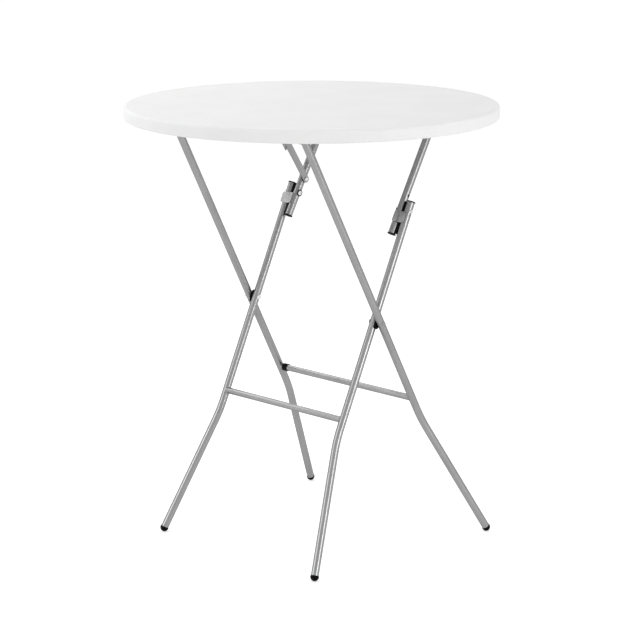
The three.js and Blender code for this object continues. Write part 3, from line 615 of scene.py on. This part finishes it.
# %% Scissor pins and spacers
scissor_pin_radius = 3.2
outer_pin_head = [(5.5, 0), (5.5, 0.5), (5.2, 0.85), (4.4, 1.1), (2.6, 1.19), (0.3, 1.2)]
inner_pin_head = [(0.3, -2.2), (3.0, -2.15), (5.0, -1.85), (6.0, -1.35), (6.4, -0.7), (6.4, 0)]
outer_pin_seat = outer_plane + tube_clear
inner_pin_seat = inner_plane - tube_clear
spacer_width = 14
spacer_reach = 9.5
spacer_end = 219.48
outer_pin_stations = [(scissor_pin_radius, outer_plane - 9.2), (scissor_pin_radius, outer_pin_seat)]
inner_pin_stations = [(scissor_pin_radius, inner_pin_seat), (scissor_pin_radius, outer_plane - 9.8)]
for word, side in left_right:
    pin = along_y(turned_piece(outer_pin_stations + raised(outer_pin_head, outer_pin_seat)), side)
    stand(pin, "outer_frame")
    hand_over(pin, f"scissor_rivet_outer_{word}", "outer_frame", "grey_steel", f"scissor_pin_outer_{word}")
    pin = along_y(turned_piece(raised(inner_pin_head, inner_pin_seat) + inner_pin_stations), side)
    stand(pin, "inner_frame")
    hand_over(pin, f"scissor_rivet_inner_{word}", "inner_frame", "zinc_steel", f"scissor_pin_inner_{word}")
    near, far = sorted((side * (leg_face + fit_gap), side * spacer_end))
    spacer = strap(spacer_width, -spacer_reach, spacer_reach, near, far - near)
    soften(spacer, 0.6 * MM, 3)
    bore = along_y(turned_piece([(3.5, 210), (3.5, 225)], sides=28), side)
    carve(spacer, bore)
    stand(spacer, "inner_frame")
    hand_over(spacer, f"scissor_washer_{word}", "inner_frame", "black_plastic", f"scissor_spacer_{word}")

# %% Knee rivets, the ring of the left one and the strips
knee_ring_profile = [(rivet_hole, -0.9), (8.7, -0.9), (9.0, -0.75), (9.0, -0.3), (rivet_hole, -0.3)]
inner_rivet_head = [(0.3, -1.2), (rivet_radius, -1.15), (5.0, -0.9), (5.8, -0.5), (6.0, 0), (rivet_radius, 0)]
outer_rivet_head = [(rivet_radius, 0), (4.8, 0), (4.8, 0.3), (4.2, 0.6), (rivet_radius, 0.68), (0.3, 0.7)]
strip_width = 11
strip_low = lower_link - upper_stub + 0.5
strip_high = lower_link + inner_stub - 0.5
ring = along_y(turned_piece(raised(knee_ring_profile, arm_face)))
carve(ring, along_y(turned_piece([(rivet_hole, 160), (rivet_hole, 180)], sides=28)))
put(ring, location=(0, 0, -upper_link * MM))
stand(ring, "upper_links")
hand_over(ring, "knee_ring", "upper_links", "black_plastic", "knee_bushing")
for word, side, under_head in (("left", 1, 0.9), ("right", -1, 0)):
    inner_seat, outer_seat = arm_face - fit_gap - under_head, leg_face + fit_gap
    rivet_stations = raised(inner_rivet_head, inner_seat) + raised(outer_rivet_head, outer_seat)
    rivet = along_y(turned_piece(rivet_stations), side)
    put(rivet, location=(0, 0, -upper_link * MM))
    stand(rivet, "upper_links")
    hand_over(rivet, f"knee_pin_{word}", "upper_links", "zinc_steel", f"knee_rivet_{word}")
    near, far = sorted((side * (upper_plane + tube_clear), side * (inner_plane - tube_clear)))
    strip = slab((-strip_width / 2, near, strip_low), (strip_width / 2, far, strip_high))
    soften(strip, 1.2 * MM, 4)
    bore = along_y(turned_piece([(rivet_hole, 180), (rivet_hole, 200)], sides=28), side)
    put(bore, location=(0, 0, lower_link * MM))
    carve(strip, bore)
    stand(strip, "inner_frame")
    hand_over(strip, f"knee_strip_{word}", "inner_frame", "black_plastic", f"knee_spacer_{word}")

# %% [markdown]
# ## Knee clips
# A small pressed plate sits across each knee on the side that faces the outer head tube. It stops
# the knee. It is modelled as two halves, one on each tube, with the outer corners cut off.

# %% Two halves of a clip
clip_thickness = 2.2
clip_low = 33
clip_high = 5


def clip_half(side, near, far, level, outer_corners, corner=4.5):
    low_y, high_y = sorted((side * near, side * far))
    plate = slab((-tube_clear - clip_thickness, low_y, level - clip_low),
                 (-tube_clear, high_y, level - clip_high))
    bpy.ops.object.mode_set(mode="EDIT")
    edge_y = side * outer_corners * MM
    pick("edges", lambda e: abs(e.verts[0].co.x - e.verts[1].co.x) > 1 * MM and all(
        abs(v.co.y - edge_y) < 1e-5 for v in e.verts))
    bpy.ops.mesh.bevel(offset=corner * MM, segments=2, affect="EDGES")
    bpy.ops.object.mode_set(mode="OBJECT")
    return soften(plate, 0.45 * MM, 2)


# The right plate is dressed below with a darker copy of the satin finish, which is painted shade.
for word, side, skew, finish in (("left", 1, 0.9, "zinc_steel"), ("right", -1, -5.0, "grey_steel")):
    half = clip_half(side, upper_plane + tube_clear, leg_face + skew, lower_link, leg_face + skew)
    stand(half, "inner_frame")
    hand_over(half, f"knee_plate_lower_{word}", "inner_frame", finish, f"knee_clip_lower_{word}")
    half = clip_half(side, upper_plane + skew, upper_plane + tube_radius, -upper_link,
                     upper_plane + skew, corner=3)
    stand(half, "upper_links")
    hand_over(half, f"knee_plate_upper_{word}", "upper_links", finish, f"knee_clip_upper_{word}")

# %% [markdown]
# ## Brackets and screws
# Four bent sheet brackets hold the head tubes under the top. Each is a base plate with two ears.
# The parts are cut as flat shapes, joined and then softened, as folded sheet has no sharp edges.

# %% Brackets around the head tubes
head_lines = (("outer", -head_x), ("upper", head_x))
bracket_length = 62
bracket_width = 30
bracket_low = 1072.2
bracket_high = 1074.7
bracket_bore = 6.65
ear_width = 20.3
ear_height = 27.0
ear_top = 1073.5
ear_thickness = 2.5
ear_starts = (-13, 10.5)
screw_hole_profile = [(2.3, -5), (2.3, 2)]


def screw_hole(x, y):
    return put(turned_piece(raised(screw_hole_profile, underside), sides=20), location=(x * MM, y * MM, 0))


for prefix, x in head_lines:
    for word, side in left_right:
        y = side * bracket_y
        bracket = slab((x - bracket_length / 2, y - bracket_width / 2, bracket_low),
                       (x + bracket_length / 2, y + bracket_width / 2, bracket_high))
        bpy.ops.object.mode_set(mode="EDIT")
        pick("edges", lambda e: abs(e.verts[0].co.z - e.verts[1].co.z) > 1 * MM)
        bpy.ops.mesh.bevel(offset=4 * MM, segments=4, affect="EDGES")
        bpy.ops.object.mode_set(mode="OBJECT")
        for start in ear_starts:
            ear = strap(ear_width, 0, ear_height, y + start, ear_thickness)
            put(ear, location=(x * MM, 0, head_height * MM))
            surplus = slab((x - 13, y - 16, ear_top), (x + 13, y + 16, top_height))
            carve(ear, surplus)
            carve(bracket, ear, operation="UNION")
        bore = along_y(turned_piece([(bracket_bore, y - 16), (bracket_bore, y + 16)], sides=36))
        carve(bracket, put(bore, location=(x * MM, 0, head_height * MM)))
        for shift in screw_shifts:
            carve(bracket, screw_hole(x + shift, y))
        soften(bracket, 0.5 * MM, 2)
        node = f"{prefix}_bracket_{word}"
        hand_over(bracket, f"{node}_plate", "tabletop", "grey_steel", node)

# %% Screws with a cross recess
screw_profile = [(0.4, -2.3), (2.2, -2.22), (3.4, -1.8), (4.05, -1.1), (4.2, -0.5), (4.2, 0), (2.0, 0),
                 (2.0, 10.5), (1.0, 12)]
bracket_seat = 1071.9
rail_seat = 1072.4


def screw_at(x, y, seat):
    screw = turned_piece(raised(screw_profile, seat), sides=28)
    for wide, deep in ((2.2, 0.45), (0.45, 2.2)):
        carve(screw, slab((-wide, -deep, seat - 4), (wide, deep, seat - 1.1)))
    return put(screw, location=(x * MM, y * MM, 0))


for prefix, x in head_lines:
    for word, side in left_right:
        for i, shift in enumerate(screw_shifts):
            node = f"{prefix}_bracket_{word}_screw_{i + 1}"
            screw = screw_at(x + shift, side * bracket_y, bracket_seat)
            hand_over(screw, f"{node}_head", "tabletop", "zinc_steel", node)
for i, x in enumerate(rail_screw_x):
    screw = screw_at(x, rail_screw_y, rail_seat)
    hand_over(screw, f"rail_screw_{i + 1}", "tabletop", "zinc_steel", f"keeper_screw_{i + 1}")

# %% [markdown]
# ## The keeper rail
# The rail is folded sheet: a flange screwed to the underside and a web with a long slot. The lock
# pin runs in the slot and springs into the notch at its end when the table is open.

# %% Fold the rail and cut its slot
rail_bottom = 1037
rail_top = 1074.7
flange_edge = rail_face - 20
cut_from = 157
cut_depth = 7
web = slab((rail_left, rail_face, rail_bottom), (rail_right, rail_back, rail_top))
flange = slab((rail_left, flange_edge, rail_top - 2), (rail_right, rail_back, rail_top))
rail = carve(web, flange, operation="UNION")
make_active(rail)
bpy.ops.object.mode_set(mode="EDIT")
pick("edges", lambda e: abs(e.verts[0].co.y - e.verts[1].co.y) > 1.5 * MM
     and all(v.co.z < (rail_bottom + 1) * MM for v in e.verts))
bpy.ops.mesh.bevel(offset=8 * MM, segments=5, affect="EDGES")
pick("edges", lambda e: abs(e.verts[0].co.z - e.verts[1].co.z) > 1.5 * MM
     and all(v.co.y < (flange_edge + 0.5) * MM for v in e.verts))
bpy.ops.mesh.bevel(offset=6 * MM, segments=4, affect="EDGES")
bpy.ops.object.mode_set(mode="OBJECT")
slot = strap(slot_width, 0, released_x - folded_x, cut_from, cut_depth)
put(slot, location=(folded_x * MM, 0, head_height * MM), turn=(0, math.pi / 2, 0))
notch = strap(notch_width, 0, locked_length - released_length, cut_from, cut_depth)
put(notch, location=(released_x * MM, 0, head_height * MM), turn=(0, stay_tilt, 0))
carve(rail, slot, notch)
for x in rail_screw_x:
    carve(rail, screw_hole(x, rail_screw_y))
soften(rail, 0.4 * MM, 2)
hand_over(rail, "keeper_rail_sheet", "tabletop", "grey_steel", "keeper_rail")

# %% [markdown]
# ## The lock stay
# One flat bar runs from a rivet on the left arm up to the rail. A compression spring beside it
# pushes a small link, and with it the lock pin, into the notch of the rail. Here the pin is drawn
# pulled back, in line with the slot, so the spring is drawn pressed. The spring is a small circle
# carried round by the Screw modifier, which is the quickest true helix.

# %% The bar and its tab
stay_near = 163.9
stay_far = 166.9
spring_axis = 13.0
spring_start = 112.0
spring_length = 50.2
foot_start = spring_start + 2 * fit_gap + spring_length
bar_width = 18
bar_end = locked_length - 1.3
tab_reach = 16.5
tab_root = 4
tab_depth = 4
bar = strap(bar_width, 0, bar_end, stay_near, stay_far - stay_near, sides=48)
tab = slab((-tab_reach, stay_near, spring_start - tab_depth), (-tab_root, stay_far, spring_start))
carve(bar, tab, operation="UNION")
carve(bar, strap(notch_width, released_length, locked_length, 160, 10))
carve(bar, along_y(turned_piece([(rivet_hole, 160), (rivet_hole, 170)], sides=28)))
soften(bar, 0.45 * MM, 2)
stand(bar, "lock_stay")
hand_over(bar, "stay_strap", "lock_stay", "grey_steel", "stay_bar")

# %% The spring
deselect_all()
wire_radius = 0.6
coil_radius = 2.9
coil_pitch = 3.5
bpy.ops.mesh.primitive_circle_add(vertices=12, radius=wire_radius * MM, fill_type="NOTHING",
                                  rotation=(math.pi / 2, 0, 0), location=(coil_radius * MM, 0, 0))
coil = bpy.context.object
settle(coil)
use_modifier(coil, "SCREW", axis="Z", angle=2 * math.pi, screw_offset=coil_pitch * MM, iterations=14,
             steps=28, render_steps=28, use_normal_calculate=True)
bpy.ops.object.mode_set(mode="EDIT")
close_tube(coil)
coil_start = spring_start + fit_gap + wire_radius
put(coil, location=(-spring_axis * MM, (stay_near + stay_far) / 2 * MM, coil_start * MM))
stand(coil, "lock_stay")
hand_over(coil, "stay_coil", "lock_stay", "spring_steel", "stay_spring", angle=60)

# %% The lock pin and its link
link_near = stay_far + fit_gap
link_far = link_near + 1.9
link = strap(12, foot_start + 6, released_length, link_near, link_far - link_near)
for inner_face, edge in ((link_near, -tab_root), (161.9, -9.5)):
    lug = slab((-tab_reach, inner_face, foot_start), (edge, link_far, foot_start + tab_depth))
    carve(link, lug, operation="UNION")
neck_profile = [(0.4, 157.4), (4.6, 157.4), (5.5, 157.9), (5.5, 159.2), (2.4, 159.2), (2.4, 168.15)]
neck = along_y(turned_piece(neck_profile))
carve(link, put(neck, location=(0, 0, released_length * MM)), operation="UNION")
stand(link, "lock_stay")
hand_over(link, "lock_link", "lock_pin", "zinc_steel", "lock_pin")

# %% The rivet and washer of the stay
stay_seat = stay_near - fit_gap
stay_rivet_head = [(0.3, -1.8), (2.6, -1.75), (4.4, -1.4), (5.2, -0.7), (5.2, 0), (rivet_radius, 0)]
rivet = along_y(turned_piece(raised(stay_rivet_head, stay_seat) + [(rivet_radius, 176.5)]))
stand(put(rivet, location=(0, 0, -stay_reach * MM)), "upper_links")
hand_over(rivet, "stay_pin", "upper_links", "zinc_steel", "stay_rivet")
stay_ring_profile = [(rivet_hole, 0), (8.8, 0), (9.2, 0.3), (9.2, 1.7), (8.8, 2.0), (rivet_hole, 2.0)]
ring = along_y(turned_piece(raised(stay_ring_profile, link_near)))
stand(put(ring, location=(0, 0, -stay_reach * MM)), "upper_links")
hand_over(ring, "stay_ring", "upper_links", "black_plastic", "stay_washer")

# %% [markdown]
# ## Materials
# Every finish is built from noise on Object coordinates, so that its grain stays with the piece.
# A helper lays down the shader and a few noise layers: they tint the colour, vary the gloss and
# raise a fine bump. The scale of each noise is the size of the real thing, in grains per metre.

# %% A finish from noise layers
def finish_of(name, dark, light, roughness, metallic=0.0, coat=0.0):
    """A material whose colour drifts between two tones; returns it with its nodes."""
    material = bpy.data.materials.new(name)
    material.use_nodes = True
    nodes, links = material.node_tree.nodes, material.node_tree.links
    shader = nodes["Principled BSDF"]
    shader.inputs["Metallic"].default_value = metallic
    shader.inputs["Coat Weight"].default_value = coat
    place = nodes.new("ShaderNodeTexCoord")
    drift = nodes.new("ShaderNodeTexNoise")
    drift.inputs["Scale"].default_value = 9
    drift.inputs["Detail"].default_value = 4
    links.new(place.outputs["Object"], drift.inputs["Vector"])
    tones = nodes.new("ShaderNodeValToRGB")
    tones.color_ramp.elements[0].position = 0.35
    tones.color_ramp.elements[1].position = 0.65
    tones.color_ramp.elements[0].color = (*dark, 1)
    tones.color_ramp.elements[1].color = (*light, 1)
    links.new(drift.outputs["Fac"], tones.inputs["Fac"])
    links.new(tones.outputs["Color"], shader.inputs["Base Color"])
    smear = nodes.new("ShaderNodeTexNoise")
    smear.inputs["Scale"].default_value = 38
    smear.inputs["Detail"].default_value = 5
    links.new(place.outputs["Object"], smear.inputs["Vector"])
    gloss = nodes.new("ShaderNodeMapRange")
    gloss.inputs["From Min"].default_value = 0.3
    gloss.inputs["From Max"].default_value = 0.7
    gloss.inputs["To Min"].default_value = roughness[0]
    gloss.inputs["To Max"].default_value = roughness[1]
    links.new(smear.outputs["Fac"], gloss.inputs["Value"])
    links.new(gloss.outputs["Result"], shader.inputs["Roughness"])
    return material, shader, place


def grain(material, shader, place, scale, strength, distance, detail=2.0):
    """Adds a fine bump of the given number of grains per metre."""
    nodes, links = material.node_tree.nodes, material.node_tree.links
    noise = nodes.new("ShaderNodeTexNoise")
    noise.inputs["Scale"].default_value = scale
    noise.inputs["Detail"].default_value = detail
    links.new(place.outputs["Object"], noise.inputs["Vector"])
    bump = nodes.new("ShaderNodeBump")
    bump.inputs["Strength"].default_value = strength
    bump.inputs["Distance"].default_value = distance
    links.new(noise.outputs["Fac"], bump.inputs["Height"])
    if shader.inputs["Normal"].is_linked:
        links.new(shader.inputs["Normal"].links[0].from_socket, bump.inputs["Normal"])
    links.new(bump.outputs["Normal"], shader.inputs["Normal"])
    return noise


# %% [markdown]
# The top is satin white polyethylene. Its mould leaves a fine pebble of about a millimetre and a
# little waviness from cooling, and both are shallow, so the face still reads as flat and bright.

# %% White moulded plastic
white, white_shader, white_place = finish_of(
    "white_polyethylene", (0.785, 0.785, 0.785), (0.805, 0.805, 0.805), (0.58, 0.7))
grain(white, white_shader, white_place, 650, 0.25, 0.0002)
grain(white, white_shader, white_place, 14, 0.05, 0.002)
white_shader.inputs["Specular IOR Level"].default_value = 0.3
white_shader.inputs["Subsurface Weight"].default_value = 0.06
white_shader.inputs["Subsurface Radius"].default_value = (0.004, 0.004, 0.003)
print("white polyethylene made")

# %% [markdown]
# The tubes wear a silver grey coat with fine metal flake. It could be a plain glossy paint, but that
# mirrors a lamp only as a thin line, and the photograph shows broad soft streaks: so the shader is
# nearly metallic and a little rough, with a thin clear layer. Its Specular Tint darkens the far
# edges, and two faint bumps are the orange peel that the coat forms while it bakes.

# %% Grey powder coat
grey, grey_shader, grey_place = finish_of(
    "grey_powder_coat", (0.265, 0.265, 0.266), (0.29, 0.29, 0.291), (0.26, 0.32), metallic=0.9, coat=0.06)
grey_shader.inputs["Coat Roughness"].default_value = 0.08
grey_shader.inputs["Specular Tint"].default_value = (0.45, 0.45, 0.45, 1)
grain(grey, grey_shader, grey_place, 900, 0.12, 0.0001)
grain(grey, grey_shader, grey_place, 160, 0.07, 0.0003)
print("grey powder coat made")

# %% [markdown]
# The small parts are bare metal. Rivet heads and screws are bright zinc plate, and the spring is
# blackened wire. The pressed plates at the knees are satin, so they get rougher finishes of their
# own. The right plate gets a darker copy of that finish: this is painted shade, not a duller metal.

# %% Zinc plated steel and spring wire
zinc, zinc_shader, zinc_place = finish_of(
    "zinc_plate", (0.52, 0.52, 0.53), (0.66, 0.66, 0.665), (0.26, 0.42), metallic=0.8)
grain(zinc, zinc_shader, zinc_place, 420, 0.2, 0.0001)
wire, wire_shader, wire_place = finish_of(
    "spring_wire", (0.03, 0.03, 0.032), (0.06, 0.06, 0.062), (0.3, 0.42), metallic=0.5)
grain(wire, wire_shader, wire_place, 700, 0.15, 0.0001)
print("zinc and wire made")

# %% Satin plates of the knees, the right one darkened with painted shade
plate, plate_shader, plate_place = finish_of(
    "satin_plate", (0.36, 0.36, 0.362), (0.41, 0.41, 0.412), (0.5, 0.6), metallic=0.6)
grain(plate, plate_shader, plate_place, 500, 0.2, 0.0001)
# A second, darker copy of the same satin finish for the right plate: painted shade.
shaded_plate, shaded_plate_shader, shaded_plate_place = finish_of(
    "painted_shade_plate", (0.23, 0.23, 0.231), (0.27, 0.27, 0.271), (0.5, 0.6), metallic=0.6)
grain(shaded_plate, shaded_plate_shader, shaded_plate_place, 500, 0.2, 0.0001)
print("satin plates made")

# %% [markdown]
# Plugs, caps and spacers are matt black plastic, and the sleeve is rubber. Both are deep black in
# the photograph, so the colour is very dark and the shine is kept low.

# %% Black plastic and rubber
black, black_shader, black_place = finish_of(
    "black_plastic", (0.002, 0.002, 0.0021), (0.004, 0.004, 0.0041), (0.5, 0.6))
black_shader.inputs["Specular IOR Level"].default_value = 0.04
grain(black, black_shader, black_place, 800, 0.3, 0.0002)
rubber, rubber_shader, rubber_place = finish_of(
    "black_rubber", (0.003, 0.003, 0.003), (0.006, 0.006, 0.006), (0.6, 0.75))
rubber_shader.inputs["Specular IOR Level"].default_value = 0.06
grain(rubber, rubber_shader, rubber_place, 500, 0.4, 0.0002)
print("black plastic and rubber made")

# %% [markdown]
# Every piece carries the name of its finish since it was handed over, so dressing it is a look in
# a list. The loop at the end tells of any measured solid that still shows without a piece.

# %% Dress the pieces
finish_for = {
    "white_plastic": white, "grey_steel": grey, "zinc_steel": zinc,
    "spring_steel": wire, "black_plastic": black, "black_rubber": rubber,
}
# The right plate's grey slot takes the darker copy of the satin finish, which is painted shade.
finish_for_plate = {"zinc_steel": plate, "grey_steel": shaded_plate}
for piece, slot in finished:
    piece.data.materials.clear()
    finishes = finish_for_plate if piece.name.startswith("knee_plate") else finish_for
    piece.data.materials.append(finishes[slot])
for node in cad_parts.values():
    if not node.hide_render:
        print("still plain:", node.name)
print("pieces dressed:", len(finished))

# %% [markdown]
# ## The studio
# The photograph has a white ground and soft light. A large floor catches the shadow. It and the
# world look white to the camera and in reflections only, so that the metal shows a white room and
# no extra light falls on the table to make its ground white.

# %% The floor
deselect_all()
bpy.ops.mesh.primitive_plane_add(size=30, location=(0, 0, -0.0005))
floor = bpy.context.object
floor.name = "floor"
floor_material = bpy.data.materials.new("floor_white")
floor_material.use_nodes = True
nodes, links = floor_material.node_tree.nodes, floor_material.node_tree.links
floor_shader = nodes["Principled BSDF"]
floor_shader.inputs["Base Color"].default_value = (0.86, 0.86, 0.86, 1)
floor_shader.inputs["Roughness"].default_value = 0.9
floor_shader.inputs["Specular IOR Level"].default_value = 0.1
floor_shader.inputs["Emission Color"].default_value = (1, 1, 1, 1)
floor_rays = nodes.new("ShaderNodeLightPath")
floor_lift = nodes.new("ShaderNodeMath")
floor_lift.operation = "MULTIPLY"
floor_lift.inputs[1].default_value = 0.42
floor_seen = nodes.new("ShaderNodeMath")
floor_seen.operation = "MAXIMUM"
links.new(floor_rays.outputs["Is Camera Ray"], floor_seen.inputs[0])
links.new(floor_rays.outputs["Is Glossy Ray"], floor_seen.inputs[1])
links.new(floor_seen.outputs["Value"], floor_lift.inputs[0])
links.new(floor_lift.outputs["Value"], floor_shader.inputs["Emission Strength"])
floor.data.materials.append(floor_material)

# %% The world
world = bpy.data.worlds.new("studio")
bpy.context.scene.world = world
world.use_nodes = True
nodes, links = world.node_tree.nodes, world.node_tree.links
sky = nodes["Background"]
sky.inputs["Color"].default_value = (1, 1, 1, 1)
sky.inputs["Strength"].default_value = 0.68
ground = nodes.new("ShaderNodeBackground")
ground.inputs["Color"].default_value = (1, 1, 1, 1)
ground.inputs["Strength"].default_value = 1.0
rays = nodes.new("ShaderNodeLightPath")
choose = nodes.new("ShaderNodeMixShader")
sky_seen = nodes.new("ShaderNodeMath")
sky_seen.operation = "MAXIMUM"
links.new(rays.outputs["Is Camera Ray"], sky_seen.inputs[0])
links.new(rays.outputs["Is Glossy Ray"], sky_seen.inputs[1])
links.new(sky_seen.outputs["Value"], choose.inputs["Fac"])
links.new(sky.outputs["Background"], choose.inputs[1])
links.new(ground.outputs["Background"], choose.inputs[2])
links.new(choose.outputs["Shader"], nodes["World Output"].inputs["Surface"])

# %% [markdown]
# The streaks on the tubes tell where the lamps stood. The key lamp, low in front, draws the bright
# streak down the inner legs and the arms. The long rear lamp lights the tops of the stretchers.
# The two fills lift the ends of the rim, and the overhead lamp evens out the tabletop.

# %% The lamps
def lamp(name, place, aim, size, power):
    data = bpy.data.lights.new(name, "AREA")
    data.shape = "RECTANGLE"
    data.size, data.size_y = size
    data.energy = power
    light = bpy.data.objects.new(name, data)
    bpy.context.collection.objects.link(light)
    light.location = place
    light.rotation_mode = "QUATERNION"
    light.rotation_quaternion = (Vector(aim) - Vector(place)).to_track_quat("-Z", "Y")
    return light


lamp("key", place=(0.1, -3.55, 1.0), aim=(0, 0, 0.8), size=(0.9, 1.8), power=34)
lamp("overhead", place=(-0.6, -0.4, 4.2), aim=(0, 0, 1.0), size=(3.0, 3.0), power=21)
lamp("fill_left", place=(-4.0, 1.8, 1.6), aim=(0, 0, 0.8), size=(1.8, 2.0), power=42)
lamp("fill_right", place=(4.0, -1.8, 1.6), aim=(0, 0, 0.8), size=(2.0, 2.0), power=5)
lamp("rear", place=(0.2, 3.0, 2.9), aim=(0, 0, 0.5), size=(5.0, 1.2), power=40)
bpy.context.scene.view_settings.view_transform = "Standard"
